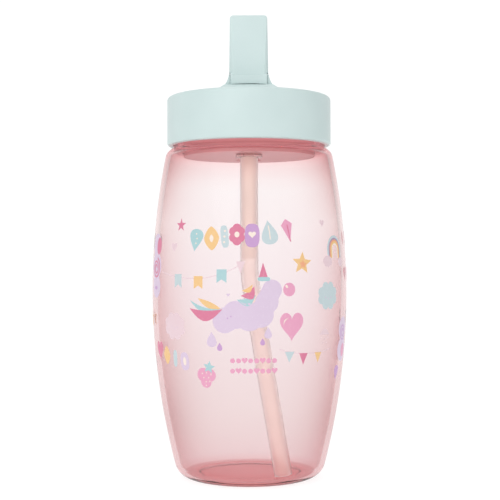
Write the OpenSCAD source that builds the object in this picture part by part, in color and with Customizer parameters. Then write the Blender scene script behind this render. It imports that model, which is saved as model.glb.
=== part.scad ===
// Straw bottle for a child: barrel body, screw lid, folding spout and a straw.
// Millimetres. The origin is the middle of the base, +Z is up, and the front faces -Y.

/* [Bottle body] */
// Largest radius of the barrel
body_r = 37.45; // [31:0.05:48]
// Height at which the barrel is widest
widest_h = 71.5; // [55:0.5:86]
// Height from the table to the top of the shoulder
shoulder_h = 126.8; // [104:0.1:160]
// Amount by which the side draws in from the widest height to the lid
draw_top = 5.9; // [3:0.1:9]
// Amount by which the side curve draws in down to the table
draw_base = 9.95; // [6:0.05:14]
// Rounding between the side and the base
base_fillet = 7.3; // [4:0.1:9]
// Rounding between the side and the shoulder
shoulder_fillet = 4.5; // [3:0.1:6]
// Wall of the body
wall = 2; // [1.4:0.1:2.6]
// Width of the flat ring that the bottle stands on
stand_w = 2.4; // [1.5:0.1:6]
// Depth of the recess under the base
recess_depth = 0.9; // [0.5:0.1:2]
// Thickness of the floor over the recess
floor_t = 1.5; // [1.2:0.1:3]

/* [Neck and thread] */
// Height of plain neck above the thread
neck_plain = 1.45; // [0.8:0.05:4]
// Wall of the neck
neck_wall = 1.9; // [1.5:0.1:2.6]
// Lift of the lid in one full turn
pitch = 5; // [4:0.1:6]
// Turns that the lid makes before it comes free
thread_turns = 1.25; // [1:0.05:1.4]
// Height of a thread ridge, measured outwards
thread_h = 1.1; // [0.8:0.05:1.4]
// Width of a thread ridge at its root
thread_root_w = 2.2; // [1.6:0.1:2.4]
// Width of a thread ridge at its crest
thread_crest_w = 1; // [0.6:0.1:1.2]
// Gap between a thread crest and the wall that it faces
thread_gap = 0.7; // [0.5:0.05:0.9]

/* [Lid] */
// Wall of the lid's skirt
lid_wall = 2.15; // [1.6:0.05:3]
// Gap between the lid's skirt and the shoulder
lid_gap = 0.8; // [0.5:0.1:2]
// Height of the ledge between the lid's top and the plug that it holds down
ledge_h = 1.25; // [0.8:0.05:4]
// Thickness of the lid's top
lid_top_t = 2.2; // [1.8:0.1:3]
// Rise of the lid's top from its rim to its middle
crown = 1.1; // [0.2:0.1:1.5]
// Rounding of the lid's upper edge
lid_edge = 1.4; // [0.6:0.1:2]
// Rounding of the lid's lower edge
skirt_edge = 0.9; // [0.4:0.1:1]
// Thickness of the sealing ring
gasket_t = 1.6; // [1:0.1:2.4]

/* [Plug under the lid] */
// Depth to which the plug reaches below the top of the shoulder
plug_below = 3.5; // [2:0.1:8]
// Gap between the plug and the neck
plug_gap = 0.4; // [0.3:0.05:0.8]
// Wall of the plug
plug_wall = 1.5; // [1.2:0.1:2.2]
// Thickness of the plug's flange
flange_t = 1.5; // [1.2:0.1:2]
// Radius of the air holes
air_hole_r = 0.6; // [0.4:0.1:0.8]
// Number of air holes in the plug
air_holes = 4; // [3:1:6]
// Radius of the air valve's flap
valve_r = 4.4; // [3.6:0.1:5]
// Thickness of the air valve's flap
valve_t = 0.7; // [0.5:0.1:1]
// Distance of the air valve behind the middle
valve_y = 13; // [10:0.5:15]

/* [Spout] */
// Distance of the hinge in front of the middle
hinge_y = 13; // [10:0.1:14]
// Radius of the spout's hub
hub_r = 4.8; // [4:0.1:5.8]
// Depth by which the hub sinks into the lid's top
hub_sink = 1.2; // [0.8:0.1:1.5]
// Step on each side from the spout in to its hub
hub_step = 0.55; // [0.4:0.05:1]
// Length of the spout from the hinge axis to its tip
spout_len = 25.4; // [20:0.1:32]
// Width of the spout at its root
spout_w = 14.6; // [12:0.1:18]
// Width of the spout at its tip
spout_tip_w = 14; // [12:0.1:17]
// Distance of the spout's front face from the hinge axis
spout_front = 4.1; // [3.4:0.1:4.5]
// Distance of the spout's back face from the hinge axis
spout_back = 3.2; // [2.8:0.1:3.6]
// Amount by which the front face leans back at the tip
spout_lean = 0.8; // [0:0.1:1.2]
// Rounding of the spout's upright edges
spout_round = 2.4; // [1:0.1:3]
// Rounding of the spout's tip
tip_round = 1.6; // [0.8:0.1:2.5]
// Radius of the channel that is drunk through
channel_r = 1.9; // [1.5:0.05:2.1]
// Height of the arched notch under the front of the hub, in the middle
lip_arch = 0.7; // [0.3:0.05:1.1]
// Radius of the pins on the hub
pin_r = 1.4; // [1.1:0.05:1.6]
// Radius of the soft seat that the hub turns on
seat_r = 3.3; // [2.8:0.1:3.4]

/* [Straw] */
// Outer radius of the straw
straw_r = 3.35; // [3:0.05:4.3]
// Radius of the straw's bore
straw_bore_r = 2.2; // [1.6:0.05:2.5]
// Wall of the stem that the straw is pushed over
stem_wall = 0.7; // [0.5:0.05:0.9]
// Length of the stem below its collar
stem_len = 38; // [20:1:50]
// Radius of the collar at the top of the straw
collar_r = 4.9; // [4.2:0.1:6]
// Thickness of that collar
collar_t = 1.2; // [0.8:0.1:2]
// Angle from the front to the straw's foot, towards the right
foot_turn = 37.7; // [0:0.1:60]
// Distance that the foot's side reaches into the rounding inside the base
foot_reach = 1.6; // [0:0.1:2.4]
// Gap between the straw's foot and the floor
foot_gap = 0.3; // [0.2:0.1:6]

/* [Hidden] */
$fn = 96;
arc_fn = 720;
eps = 0.01;

slide_gap = 0.3;        // between surfaces that move past each other
pin_gap = 0.05;         // running fit of the hinge pins
seat_gap = 0.12;        // between the hub and its soft seat
press_gap = 0.02;       // parts that are pushed together and stay so
mint = [0.81, 0.88, 0.87];
pink = [0.95, 0.72, 0.74, 0.45];
milky = [0.9, 0.86, 0.84, 0.8];
clear_white = [0.93, 0.94, 0.94];

// Radii from the barrel inwards
lid_r = body_r - draw_top;
lid_in_r = lid_r - lid_wall;
neck_r = lid_in_r - thread_h - thread_gap;
neck_in_r = neck_r - neck_wall;
plug_r = neck_in_r - plug_gap;
gasket_in_r = plug_r + slide_gap;
gasket_out_r = lid_in_r - thread_gap;
flange_r = lid_in_r - slide_gap;

// Heights from the table upwards. The lid's ridge of thread runs just below the neck's,
// on the side that pulls the lid down, and both stay inside the lid.
thread_step = (thread_root_w + thread_crest_w) / 2 + slide_gap + 0.1;
floor_z = recess_depth + floor_t;
lid_bottom_z = shoulder_h + lid_gap;
neck_thread_z = lid_bottom_z + thread_step + thread_root_w / 2 + 0.1;
neck_top_z = neck_thread_z + pitch * thread_turns + thread_root_w / 2 + neck_plain;
plug_bottom_z = shoulder_h - plug_below;
flange_gap = 0.05;
flange_z = neck_top_z + gasket_t + flange_gap;
flange_top_z = flange_z + flange_t;
lid_under_z = flange_top_z + ledge_h;
lid_rim_z = lid_under_z + lid_top_t;
hinge_h = hub_r - hub_sink;
hinge_z = lid_rim_z + hinge_h;
rest_z = hinge_z - spout_back - 0.4;    // floor under the folded spout

// Side of the body: two arcs that meet upright at the widest height
lower_arc = arc_through(draw_base, widest_h);
upper_arc = arc_through(draw_top, shoulder_h - widest_h);
function arc_through(dr, dz) = (dr * dr + dz * dz) / (2 * dr);
// Middle of a rounding that touches a side arc and the flat end at z
function rounding(arc, f, z) =
    [body_r - arc + sqrt(pow(arc - f, 2) - pow(z - widest_h, 2)), z];
base_mid = rounding(lower_arc, base_fillet, base_fillet);
shoulder_mid = rounding(upper_arc, shoulder_fillet, shoulder_h - shoulder_fillet);
// Point where an arc, moved in by off, meets its rounding
function touch(arc, mid, off) =
    let (c = [body_r - arc, widest_h]) c + (mid - c) / norm(mid - c) * (arc - off);

// Half section of the body, moved in by off
module body_section(off) {
    low = touch(lower_arc, base_mid, off);
    high = touch(upper_arc, shoulder_mid, off);
    intersection() {
        translate([body_r - lower_arc, widest_h]) circle(lower_arc - off, $fn = arc_fn);
        translate([0, low[1]]) square([2 * body_r, widest_h - low[1]]);
    }
    intersection() {
        translate([body_r - upper_arc, widest_h]) circle(upper_arc - off, $fn = arc_fn);
        translate([0, widest_h]) square([2 * body_r, high[1] - widest_h]);
    }
    translate(base_mid) circle(base_fillet - off);
    translate(shoulder_mid) circle(shoulder_fillet - off);
    polygon([[0, off], [base_mid[0], off], low, [body_r - off, widest_h], high,
             [shoulder_mid[0], shoulder_h - off], [0, shoulder_h - off]]);
}

// One ridge of thread that climbs to the left as seen from outside, thin at both ends.
// root is the radius of its buried side and crest that of its free side.
module thread_ridge(root, crest, z) {
    steps = 36 * thread_turns;
    fade = 3;
    wide = thread_root_w / 2;
    thin = thread_crest_w / 2;
    section = [for (i = [0 : steps])
        let (a = 360 * thread_turns * i / steps,
             h = z + pitch * a / 360,
             k = min(1, i / fade, (steps - i) / fade),
             r = root + (crest - root) * max(k, 0.25),
             w = thin + (wide - thin) * (1 - k) * 0.5)
        each [[root * cos(a), root * sin(a), h - wide],
              [r * cos(a), r * sin(a), h - w],
              [r * cos(a), r * sin(a), h + w],
              [root * cos(a), root * sin(a), h + wide]]];
    last = 4 * steps;
    sides = [for (i = [0 : steps - 1], j = [0 : 3])
        let (p = 4 * i + j, q = 4 * i + (j + 1) % 4)
        each [[p, p + 4, q + 4], [p, q + 4, q]]];
    ends = [[0, 1, 2], [0, 2, 3],
            [last, last + 2, last + 1], [last, last + 3, last + 2]];
    faces = concat(sides, ends);
    outward = crest > root;
    polyhedron(section, outward ? [for (f = faces) [f[2], f[1], f[0]]] : faces);
}

module bottle_body() {
    color(pink)
    difference() {
        union() {
            rotate_extrude() body_section(0);
            translate([0, 0, shoulder_h - wall])
                cylinder(h = neck_top_z - shoulder_h + wall, r = neck_r);
            thread_ridge(neck_r - 0.5, neck_r + thread_h, neck_thread_z);
        }
        rotate_extrude() intersection() {
            body_section(wall);
            translate([0, floor_z]) square([2 * body_r, shoulder_h]);
        }
        translate([0, 0, shoulder_h / 2])
            cylinder(h = neck_top_z - shoulder_h / 2 + 1, r = neck_in_r);
        translate([0, 0, -1]) cylinder(h = recess_depth + 1, r = base_mid[0] - stand_w);
    }
}

module neck_gasket() {
    color(clear_white)
    translate([0, 0, neck_top_z]) difference() {
        cylinder(h = gasket_t, r = gasket_out_r);
        translate([0, 0, -1]) cylinder(h = gasket_t + 2, r = gasket_in_r);
    }
}

// Half section of the lid's outside
module lid_section() {
    crown_arc = arc_through(crown, lid_r - lid_edge);
    lid_h = lid_rim_z - lid_bottom_z;
    translate([0, lid_bottom_z]) square([lid_r - skirt_edge, lid_h / 2]);
    translate([0, lid_bottom_z + skirt_edge]) square([lid_r, lid_h - skirt_edge - lid_edge]);
    translate([0, lid_under_z - 1]) square([lid_r - lid_edge, lid_top_t + 1]);
    translate([lid_r - skirt_edge, lid_bottom_z + skirt_edge]) circle(skirt_edge);
    translate([lid_r - lid_edge, lid_rim_z - lid_edge]) circle(lid_edge);
    intersection() {
        translate([0, lid_rim_z + crown - crown_arc]) circle(crown_arc, $fn = arc_fn * 4);
        translate([0, lid_rim_z - eps]) square([lid_r - lid_edge, crown + 1]);
    }
}

// Block that carries the hinge. Its cheeks sweep outwards into the lid's top.
hub_w = spout_w - 2 * hub_step;
cheek_in = hub_w / 2 + slide_gap;
cheek_out = spout_w / 2 + 0.2;
cheek_r = hub_r - 1.3;
cheek_sweep = hinge_h + cheek_r;
block_x = cheek_out + cheek_sweep;      // half width of the block's foot
front_wall_y = hub_r + slide_gap + 1.8;
front_wall_top = hinge_z - 1.2;

module hinge_block() {
    foot_round = 5;
    back = cheek_r + 3;
    front = -front_wall_y - 3;
    translate([0, -hinge_y, 0]) intersection() {
        // seen from the front
        rotate([90, 0, 0]) linear_extrude(40, center = true) difference() {
            translate([-block_x, lid_under_z])
                square([2 * block_x, hinge_z + cheek_r - lid_under_z]);
            for (s = [-1, 1])
                translate([s * block_x, lid_rim_z + cheek_sweep]) circle(cheek_sweep);
        }
        // seen from above
        translate([0, 0, lid_under_z - 1]) linear_extrude(40) {
            translate([-block_x, front + foot_round])
                square([2 * block_x, back - front - 2 * foot_round]);
            translate([foot_round - block_x, front])
                square([2 * (block_x - foot_round), back - front]);
            for (sx = [-1, 1], y = [front + foot_round, back - foot_round])
                translate([sx * (block_x - foot_round), y]) circle(foot_round);
        }
        // seen from the side
        rotate([90, 0, 90]) linear_extrude(2 * block_x, center = true) {
            translate([0, hinge_z]) circle(cheek_r);
            polygon([[0, hinge_z], [0.9 * cheek_r, hinge_z], [back, lid_rim_z],
                     [back, lid_under_z], [front, lid_under_z], [front, lid_rim_z],
                     [-front_wall_y - 0.6, front_wall_top - 0.8],
                     [-front_wall_y + 0.4, front_wall_top], [0, front_wall_top]]);
        }
    }
}

module lid_shell() {
    boss_r = seat_r + 2.6;
    scoop_r = 9;
    end_y = spout_len - hinge_y;
    color(mint)
    difference() {
        union() {
            difference() {
                rotate_extrude() lid_section();
                translate([0, 0, lid_bottom_z - 1])
                    cylinder(h = lid_under_z - lid_bottom_z + 1, r = lid_in_r);
            }
            hinge_block();
            // ledge that holds the plug down, and the socket of the soft seat
            translate([0, 0, flange_top_z]) difference() {
                cylinder(h = lid_under_z - flange_top_z + eps, r = gasket_out_r);
                translate([0, 0, -1]) cylinder(h = 9, r = plug_r + 1);
            }
            translate([0, -hinge_y, flange_top_z])
                cylinder(h = lid_under_z - flange_top_z + 0.5, r = boss_r);
            thread_ridge(lid_in_r + 0.5, lid_in_r - thread_h, neck_thread_z - thread_step);
        }
        // room for the hub, and for the spout when it is folded
        translate([0, -hinge_y, hinge_z]) rotate([0, 90, 0])
            cylinder(h = 2 * cheek_in, r = hub_r + slide_gap, center = true);
        translate([-cheek_in, -hinge_y, rest_z]) cube([2 * cheek_in, hinge_y, 20]);
        translate([-spout_w / 2 - 0.6, cheek_r - hinge_y, rest_z])
            cube([spout_w + 1.2, spout_len - cheek_r + 0.6, 20]);
        // finger scoop at the tip of the folded spout
        translate([0, end_y, rest_z + scoop_r - 1]) rotate([0, 90, 0])
            cylinder(h = spout_w - 2, r = scoop_r, center = true);
        // pin holes, seat socket and air hole
        translate([0, -hinge_y, hinge_z]) rotate([0, 90, 0])
            cylinder(h = 4 * cheek_out, r = pin_r + pin_gap, center = true);
        translate([0, -hinge_y, flange_top_z - 1])
            cylinder(h = 6, r = seat_r + press_gap);
        translate([0, end_y / 2, lid_under_z - 1]) cylinder(h = 6, r = air_hole_r + 0.3);
    }
}

duct_r = collar_r + 0.3;
stem_r = channel_r + stem_wall;
socket_r = stem_r + 1;
socket_h = 11;
valve_recess = valve_t + 0.6;
valve_stem_r = 1.25;
valve_seat_top = plug_bottom_z + valve_recess + 2.6;

module lid_plug() {
    color(pink)
    difference() {
        union() {
            difference() {
                union() {
                    translate([0, 0, flange_z]) cylinder(h = flange_t, r = flange_r);
                    translate([0, 0, plug_bottom_z])
                        cylinder(h = flange_z - plug_bottom_z, r = plug_r);
                }
                translate([0, 0, plug_bottom_z + plug_wall])
                    cylinder(h = flange_top_z - plug_bottom_z, r = plug_r - plug_wall);
            }
            // upright duct between the seat and the straw
            translate([0, -hinge_y, plug_bottom_z])
                cylinder(h = flange_top_z - plug_bottom_z, r = duct_r);
            // thick patch that holds the air valve
            translate([0, valve_y, plug_bottom_z])
                cylinder(h = valve_seat_top - plug_bottom_z, r = valve_r + 1.6);
        }
        translate([0, -hinge_y, plug_bottom_z - 1])
            cylinder(h = flange_top_z - plug_bottom_z + 2, r = channel_r);
        translate([0, -hinge_y, plug_bottom_z - 1])
            cylinder(h = socket_h + 1 + slide_gap, r = socket_r + press_gap);
        translate([0, valve_y, plug_bottom_z - 1])
            cylinder(h = valve_recess + 1, r = valve_r + 0.6);
        translate([0, valve_y, plug_bottom_z])
            cylinder(h = 9, r = valve_stem_r + press_gap);
        for (i = [0 : air_holes - 1])
            translate([0, valve_y, plug_bottom_z]) rotate(360 * (i + 0.5) / air_holes)
                translate([(valve_stem_r + valve_r) / 2, 0, 0]) cylinder(h = 9, r = air_hole_r);
    }
}

// Umbrella valve: a flap that lets air in, held by a stem with a bulb
module air_valve() {
    flap_z = plug_bottom_z + valve_recess - valve_t;
    bulb_h = 1.8;
    color(clear_white)
    translate([0, valve_y, 0]) {
        translate([0, 0, flap_z]) cylinder(h = valve_t, r = valve_r);
        translate([0, 0, flap_z]) cylinder(h = valve_seat_top - flap_z + 1, r = valve_stem_r);
        translate([0, 0, valve_seat_top + 0.05]) cylinder(h = bulb_h, r1 = valve_stem_r + 0.7,
                                                          r2 = valve_stem_r - 0.3, $fn = 48);
    }
}

module spout() {
    root = cheek_r + slide_gap;
    arch_r = 60;
    arch_depth = 1.4;
    color(mint)
    translate([0, -hinge_y, hinge_z]) difference() {
        union() {
            intersection() {
                // seen from the front
                rotate([90, 0, 0]) linear_extrude(30, center = true) {
                    polygon([[-spout_w / 2, root], [spout_w / 2, root],
                             [spout_tip_w / 2, spout_len - tip_round],
                             [spout_tip_w / 2 - tip_round, spout_len],
                             [tip_round - spout_tip_w / 2, spout_len],
                             [-spout_tip_w / 2, spout_len - tip_round]]);
                    for (s = [-1, 1])
                        translate([s * (spout_tip_w / 2 - tip_round), spout_len - tip_round])
                            circle(tip_round);
                    translate([-hub_w / 2, 0]) square([hub_w, root + 1]);
                }
                // seen from the side
                rotate([90, 0, 90]) linear_extrude(30, center = true) {
                    polygon([[-spout_front, 0], [spout_back, 0],
                             [spout_back, spout_len - tip_round],
                             [spout_back - tip_round, spout_len],
                             [spout_lean - spout_front + tip_round, spout_len],
                             [spout_lean - spout_front, spout_len - tip_round]]);
                    for (y = [spout_back - tip_round, spout_lean - spout_front + tip_round])
                        translate([y, spout_len - tip_round]) circle(tip_round);
                }
                // seen from above
                linear_extrude(spout_len) {
                    for (sx = [-1, 1], y = [spout_back - spout_round, spout_round - spout_front])
                        translate([sx * (spout_w / 2 - spout_round), y]) circle(spout_round);
                    translate([-spout_w / 2, spout_round - spout_front])
                        square([spout_w, spout_front + spout_back - 2 * spout_round]);
                    translate([spout_round - spout_w / 2, -spout_front])
                        square([spout_w - 2 * spout_round, spout_front + spout_back]);
                }
            }
            rotate([0, 90, 0]) cylinder(h = hub_w, r = hub_r, center = true);
            // shoulders that run on the cheeks, then the pins
            rotate([0, 90, 0])
                cylinder(h = 2 * (cheek_in - pin_gap), r = cheek_r - 0.2, center = true);
            rotate([0, 90, 0]) cylinder(h = 2 * cheek_out + 0.2, r = pin_r, center = true);
        }
        // arched notch that opens above the front wall
        translate([0, arch_depth - hub_r, front_wall_top - hinge_z + lip_arch - arch_r])
            rotate([90, 0, 0]) cylinder(h = hub_r, r = arch_r, $fn = arc_fn);
        translate([0, 0, -hub_r - 1]) cylinder(h = spout_len + hub_r + 2, r = channel_r);
    }
}

module spout_seat() {
    color(clear_white)
    translate([0, -hinge_y, 0]) difference() {
        translate([0, 0, flange_top_z])
            cylinder(h = rest_z - flange_top_z, r = seat_r);
        translate([0, 0, hinge_z]) rotate([0, 90, 0])
            cylinder(h = 30, r = hub_r + seat_gap, center = true);
        translate([0, 0, flange_top_z - 1]) cylinder(h = 9, r = channel_r);
    }
}

module straw_stem() {
    collar_z = plug_bottom_z - collar_t;
    color(milky)
    translate([0, -hinge_y, 0]) difference() {
        union() {
            translate([0, 0, collar_z]) cylinder(h = collar_t, r = collar_r);
            translate([0, 0, plug_bottom_z - eps]) cylinder(h = socket_h, r = socket_r);
            translate([0, 0, collar_z - stem_len]) cylinder(h = stem_len + eps, r = stem_r);
        }
        translate([0, 0, collar_z - stem_len - 1])
            cylinder(h = stem_len + collar_t + socket_h + 2, r = channel_r);
    }
}

// The straw hangs straight around the stem, bends, and leans to its foot near the wall.
// In the plane of the bend: run is the foot's distance sideways and drop the height to it.
bend_r = 60;
straw_top_z = plug_bottom_z - collar_t;
knee_z = straw_top_z - stem_len - 2;
foot_r = base_mid[0] + foot_reach - straw_r;
foot_x = foot_r * sin(foot_turn);
foot_y = foot_r * cos(foot_turn);
run = norm([foot_x, foot_y - hinge_y]);
foot_z = floor_z + foot_gap + straw_r * run / (knee_z - floor_z);
drop = knee_z - foot_z;
leg = sqrt(pow(run - bend_r, 2) + drop * drop - bend_r * bend_r);
bend = atan2(-drop, run - bend_r) + 180 - atan2(leg, bend_r);

module straw() {
    lap = 0.1;      // the bend's two ends lie inside the walls of the straight lengths
    color(milky)
    translate([0, -hinge_y, 0]) rotate(atan2(hinge_y - foot_y, foot_x)) {
        difference() {
            translate([0, 0, knee_z - lap]) linear_extrude(straw_top_z - knee_z + lap)
                straw_ring(straw_r, straw_bore_r);
            translate([0, 0, straw_top_z - stem_len - eps])
                cylinder(h = stem_len + 1, r = stem_r + press_gap);
        }
        translate([bend_r, 0, knee_z]) rotate([90, 0, 180]) rotate_extrude(angle = -bend)
            translate([bend_r, 0]) straw_ring(straw_r - 0.02, straw_bore_r + 0.02);
        translate([bend_r, 0, knee_z]) rotate([0, -bend, 0]) translate([-bend_r, 0, -leg])
            linear_extrude(leg + lap) straw_ring(straw_r, straw_bore_r);
    }
}

module straw_ring(outer, inner) {
    difference() {
        circle(outer);
        circle(inner);
    }
}

bottle_body();
neck_gasket();
lid_shell();
lid_plug();
air_valve();
spout();
spout_seat();
straw_stem();
straw();
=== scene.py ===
import math

import bmesh
import bpy
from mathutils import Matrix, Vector, geometry


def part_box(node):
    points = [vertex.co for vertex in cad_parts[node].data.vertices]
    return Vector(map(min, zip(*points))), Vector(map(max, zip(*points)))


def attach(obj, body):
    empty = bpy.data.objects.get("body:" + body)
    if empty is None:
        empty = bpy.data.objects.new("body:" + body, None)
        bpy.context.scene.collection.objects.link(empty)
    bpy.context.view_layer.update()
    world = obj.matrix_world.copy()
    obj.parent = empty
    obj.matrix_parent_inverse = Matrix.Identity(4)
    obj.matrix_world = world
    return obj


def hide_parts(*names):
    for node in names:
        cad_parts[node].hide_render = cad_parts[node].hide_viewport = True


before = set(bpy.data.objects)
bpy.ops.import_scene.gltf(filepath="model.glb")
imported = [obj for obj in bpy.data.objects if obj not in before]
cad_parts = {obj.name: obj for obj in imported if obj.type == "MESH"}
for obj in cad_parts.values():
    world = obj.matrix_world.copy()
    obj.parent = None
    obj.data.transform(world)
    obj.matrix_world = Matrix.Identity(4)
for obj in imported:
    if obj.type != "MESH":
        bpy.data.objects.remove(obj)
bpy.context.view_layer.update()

# A straw bottle for a child: tinted barrel with a printed pattern, screw lid, folding spout.
# The CAD frame gives the places. Sizes below are in millimetres unless a name says otherwise.
mm = 0.001
scene = bpy.context.scene


def newObject(name, vertices, faces, body, material, smooth=True):
    mesh = bpy.data.meshes.new(name)
    mesh.from_pydata([(x * mm, y * mm, z * mm) for x, y, z in vertices], [], faces)
    mesh.update()
    piece = bpy.data.objects.new(name, mesh)
    scene.collection.objects.link(piece)
    mesh.materials.append(material)
    if smooth:
        mesh.shade_smooth()
    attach(piece, body)
    return piece


def arc(centre, radius, start, end, steps):
    # points on an arc in the (radius, height) plane, angles in degrees, 0 points outwards
    points = []
    for i in range(steps + 1):
        a = math.radians(start + (end - start) * i / steps)
        points.append((centre[0] + radius * math.cos(a), centre[1] + radius * math.sin(a)))
    return points


def between(p, q, step):
    # points along a straight line, both ends left out
    count = max(1, round(math.dist(p, q) / step))
    return [(p[0] + (q[0] - p[0]) * i / count, p[1] + (q[1] - p[1]) * i / count)
            for i in range(1, count)]


def newGroup(name, inputs, outputs):
    group = bpy.data.node_groups.new(name, "ShaderNodeTree")
    for socketName, kind, value in inputs:
        socket = group.interface.new_socket(socketName, in_out="INPUT", socket_type=kind)
        socket.default_value = value
    for socketName, kind in outputs:
        group.interface.new_socket(socketName, in_out="OUTPUT", socket_type=kind)
    return group, group.nodes.new("NodeGroupInput"), group.nodes.new("NodeGroupOutput")


def mathNode(tree, operation, a, b=0.0, clamp=False):
    node = tree.nodes.new("ShaderNodeMath")
    node.operation = operation
    node.use_clamp = clamp
    for socket, value in zip(node.inputs, (a, b)):
        if isinstance(value, bpy.types.NodeSocket):
            tree.links.new(value, socket)
        else:
            socket.default_value = value
    return node.outputs[0]


def mixColour(tree, amount, a, b):
    # the sockets 0, 6 and 7 are the factor and the two colours
    node = tree.nodes.new("ShaderNodeMix")
    node.data_type = "RGBA"
    for socket, value in ((node.inputs[0], amount), (node.inputs[6], a), (node.inputs[7], b)):
        if isinstance(value, bpy.types.NodeSocket):
            tree.links.new(value, socket)
        else:
            socket.default_value = value
    return node.outputs[2]


def noiseNode(tree, vector, scale, detail=2.0, roughness=0.5):
    node = tree.nodes.new("ShaderNodeTexNoise")
    tree.links.new(vector, node.inputs["Vector"])
    if isinstance(scale, bpy.types.NodeSocket):
        tree.links.new(scale, node.inputs["Scale"])
    else:
        node.inputs["Scale"].default_value = scale
    node.inputs["Detail"].default_value = detail
    node.inputs["Roughness"].default_value = roughness
    return node.outputs["Fac"]


def rampNode(tree, factor, stops):
    # colours along a factor from 0 to 1, each stop a place and a display colour
    node = tree.nodes.new("ShaderNodeValToRGB")
    ramp = node.color_ramp
    ramp.elements[0].position, ramp.elements[1].position = stops[0][0], stops[-1][0]
    ramp.elements[0].color, ramp.elements[1].color = rgb(stops[0][1]), rgb(stops[-1][1])
    for place, code in stops[1:-1]:
        ramp.elements.new(place).color = rgb(code)
    tree.links.new(factor, node.inputs[0])
    return node.outputs["Color"]


def rangeNode(tree, value, low, high):
    node = tree.nodes.new("ShaderNodeMapRange")
    node.inputs["To Min"].default_value = low
    node.inputs["To Max"].default_value = high
    tree.links.new(value, node.inputs["Value"])
    return node.outputs[0]


def aboveLevel(tree, value, level, gain):
    # zero up to a level, then rising to one
    over = mathNode(tree, "SUBTRACT", value, level, True)
    return mathNode(tree, "MULTIPLY", over, gain, True)


grainNoise = dict(fineDetail=3.0, fineRoughness=0.6, flowDetail=1.5, flowRoughness=0.45)


def makeMouldGrain():
    # fine texture that a mould leaves on plastic: small grain over a slow unevenness
    group, given, result = newGroup(
        "MouldGrain",
        [("Grain Size", "NodeSocketFloat", 1500.0), ("Flow Size", "NodeSocketFloat", 60.0),
         ("Grain Share", "NodeSocketFloat", 0.6)],
        [("Height", "NodeSocketFloat"), ("Flow", "NodeSocketFloat")])
    where = group.nodes.new("ShaderNodeTexCoord").outputs["Object"]
    grain = noiseNode(group, where, given.outputs["Grain Size"], grainNoise["fineDetail"],
                      grainNoise["fineRoughness"])
    flow = noiseNode(group, where, given.outputs["Flow Size"], grainNoise["flowDetail"],
                     grainNoise["flowRoughness"])
    fine = mathNode(group, "MULTIPLY", grain, given.outputs["Grain Share"])
    group.links.new(mathNode(group, "ADD", fine, flow), result.inputs["Height"])
    group.links.new(flow, result.inputs["Flow"])
    return group


rubbing = dict(patchDetail=4.0, patchRoughness=0.55, patchFrom=0.45, patchGain=2.2,
               scuffDetail=2.0, scuffRoughness=0.7, scuffFrom=0.62, scuffGain=5.0,
               scuffStretch=(1.0, 1.0, 7.0))


def makeHandling():
    # faint rubbed patches and hairline scuffs, as a mask
    group, given, result = newGroup(
        "Handling",
        [("Patch Size", "NodeSocketFloat", 45.0), ("Scuff Size", "NodeSocketFloat", 260.0),
         ("Amount", "NodeSocketFloat", 0.5)],
        [("Mask", "NodeSocketFloat")])
    where = group.nodes.new("ShaderNodeTexCoord").outputs["Object"]
    patches = noiseNode(group, where, given.outputs["Patch Size"], rubbing["patchDetail"],
                        rubbing["patchRoughness"])
    stretch = group.nodes.new("ShaderNodeVectorMath")
    stretch.operation = "MULTIPLY"
    stretch.inputs[1].default_value = rubbing["scuffStretch"]
    group.links.new(where, stretch.inputs[0])
    scuffs = noiseNode(group, stretch.outputs[0], given.outputs["Scuff Size"],
                       rubbing["scuffDetail"], rubbing["scuffRoughness"])
    sharp = aboveLevel(group, scuffs, rubbing["scuffFrom"], rubbing["scuffGain"])
    wide = aboveLevel(group, patches, rubbing["patchFrom"], rubbing["patchGain"])
    both = mathNode(group, "MAXIMUM", sharp, wide)
    group.links.new(mathNode(group, "MULTIPLY", both, given.outputs["Amount"]),
                    result.inputs["Mask"])
    return group


mouldGrain = makeMouldGrain()
handling = makeHandling()


def useGroup(tree, group, values):
    node = tree.nodes.new("ShaderNodeGroup")
    node.node_tree = group
    for socketName, value in values.items():
        node.inputs[socketName].default_value = value
    return node


def newMaterial(name):
    material = bpy.data.materials.new(name)
    material.use_nodes = True
    tree = material.node_tree
    shader = tree.nodes["Principled BSDF"]
    return material, tree, shader


def addBump(tree, shader, height, finish):
    bump = tree.nodes.new("ShaderNodeBump")
    bump.inputs["Strength"].default_value = finish["bump"]
    bump.inputs["Distance"].default_value = finish["bumpDepth"] * mm
    tree.links.new(height, bump.inputs["Height"])
    tree.links.new(bump.outputs["Normal"], shader.inputs["Normal"])


def addTouch(tree, shader, finish):
    # rubbed places are duller than the rest
    touched = useGroup(tree, handling, finish["touch"])
    tree.links.new(rangeNode(tree, touched.outputs["Mask"], finish["roughness"],
                             finish["rubbed"]), shader.inputs["Roughness"])


def addAbsorption(tree, colour, density):
    volume = tree.nodes.new("ShaderNodeVolumeAbsorption")
    volume.inputs["Color"].default_value = colour
    volume.inputs["Density"].default_value = density
    tree.links.new(volume.outputs["Volume"], tree.nodes["Material Output"].inputs["Volume"])


def rgb(code):
    # a display colour such as "CFE0DE" as the linear colour that a shader takes
    parts = [int(code[i:i + 2], 16) / 255 for i in (0, 2, 4)]
    return tuple(p / 12.92 if p < 0.04045 else ((p + 0.055) / 1.055) ** 2.4
                 for p in parts) + (1.0,)


mintPlastic = dict(
    colour="D0E1E0", shade="C8DAD9", shadeFrom=0.35, shadeGain=1.6,
    roughness=0.34, rubbed=0.46, ior=1.49,
    subsurface=0.12, subsurfaceRadius=(1.0, 1.1, 1.05), subsurfaceDepth=1.2,
    grain={"Grain Size": 2600.0, "Flow Size": 70.0, "Grain Share": 0.5},
    touch={"Patch Size": 50.0, "Scuff Size": 420.0, "Amount": 0.5},
    bump=0.05, bumpDepth=0.05)


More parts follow.
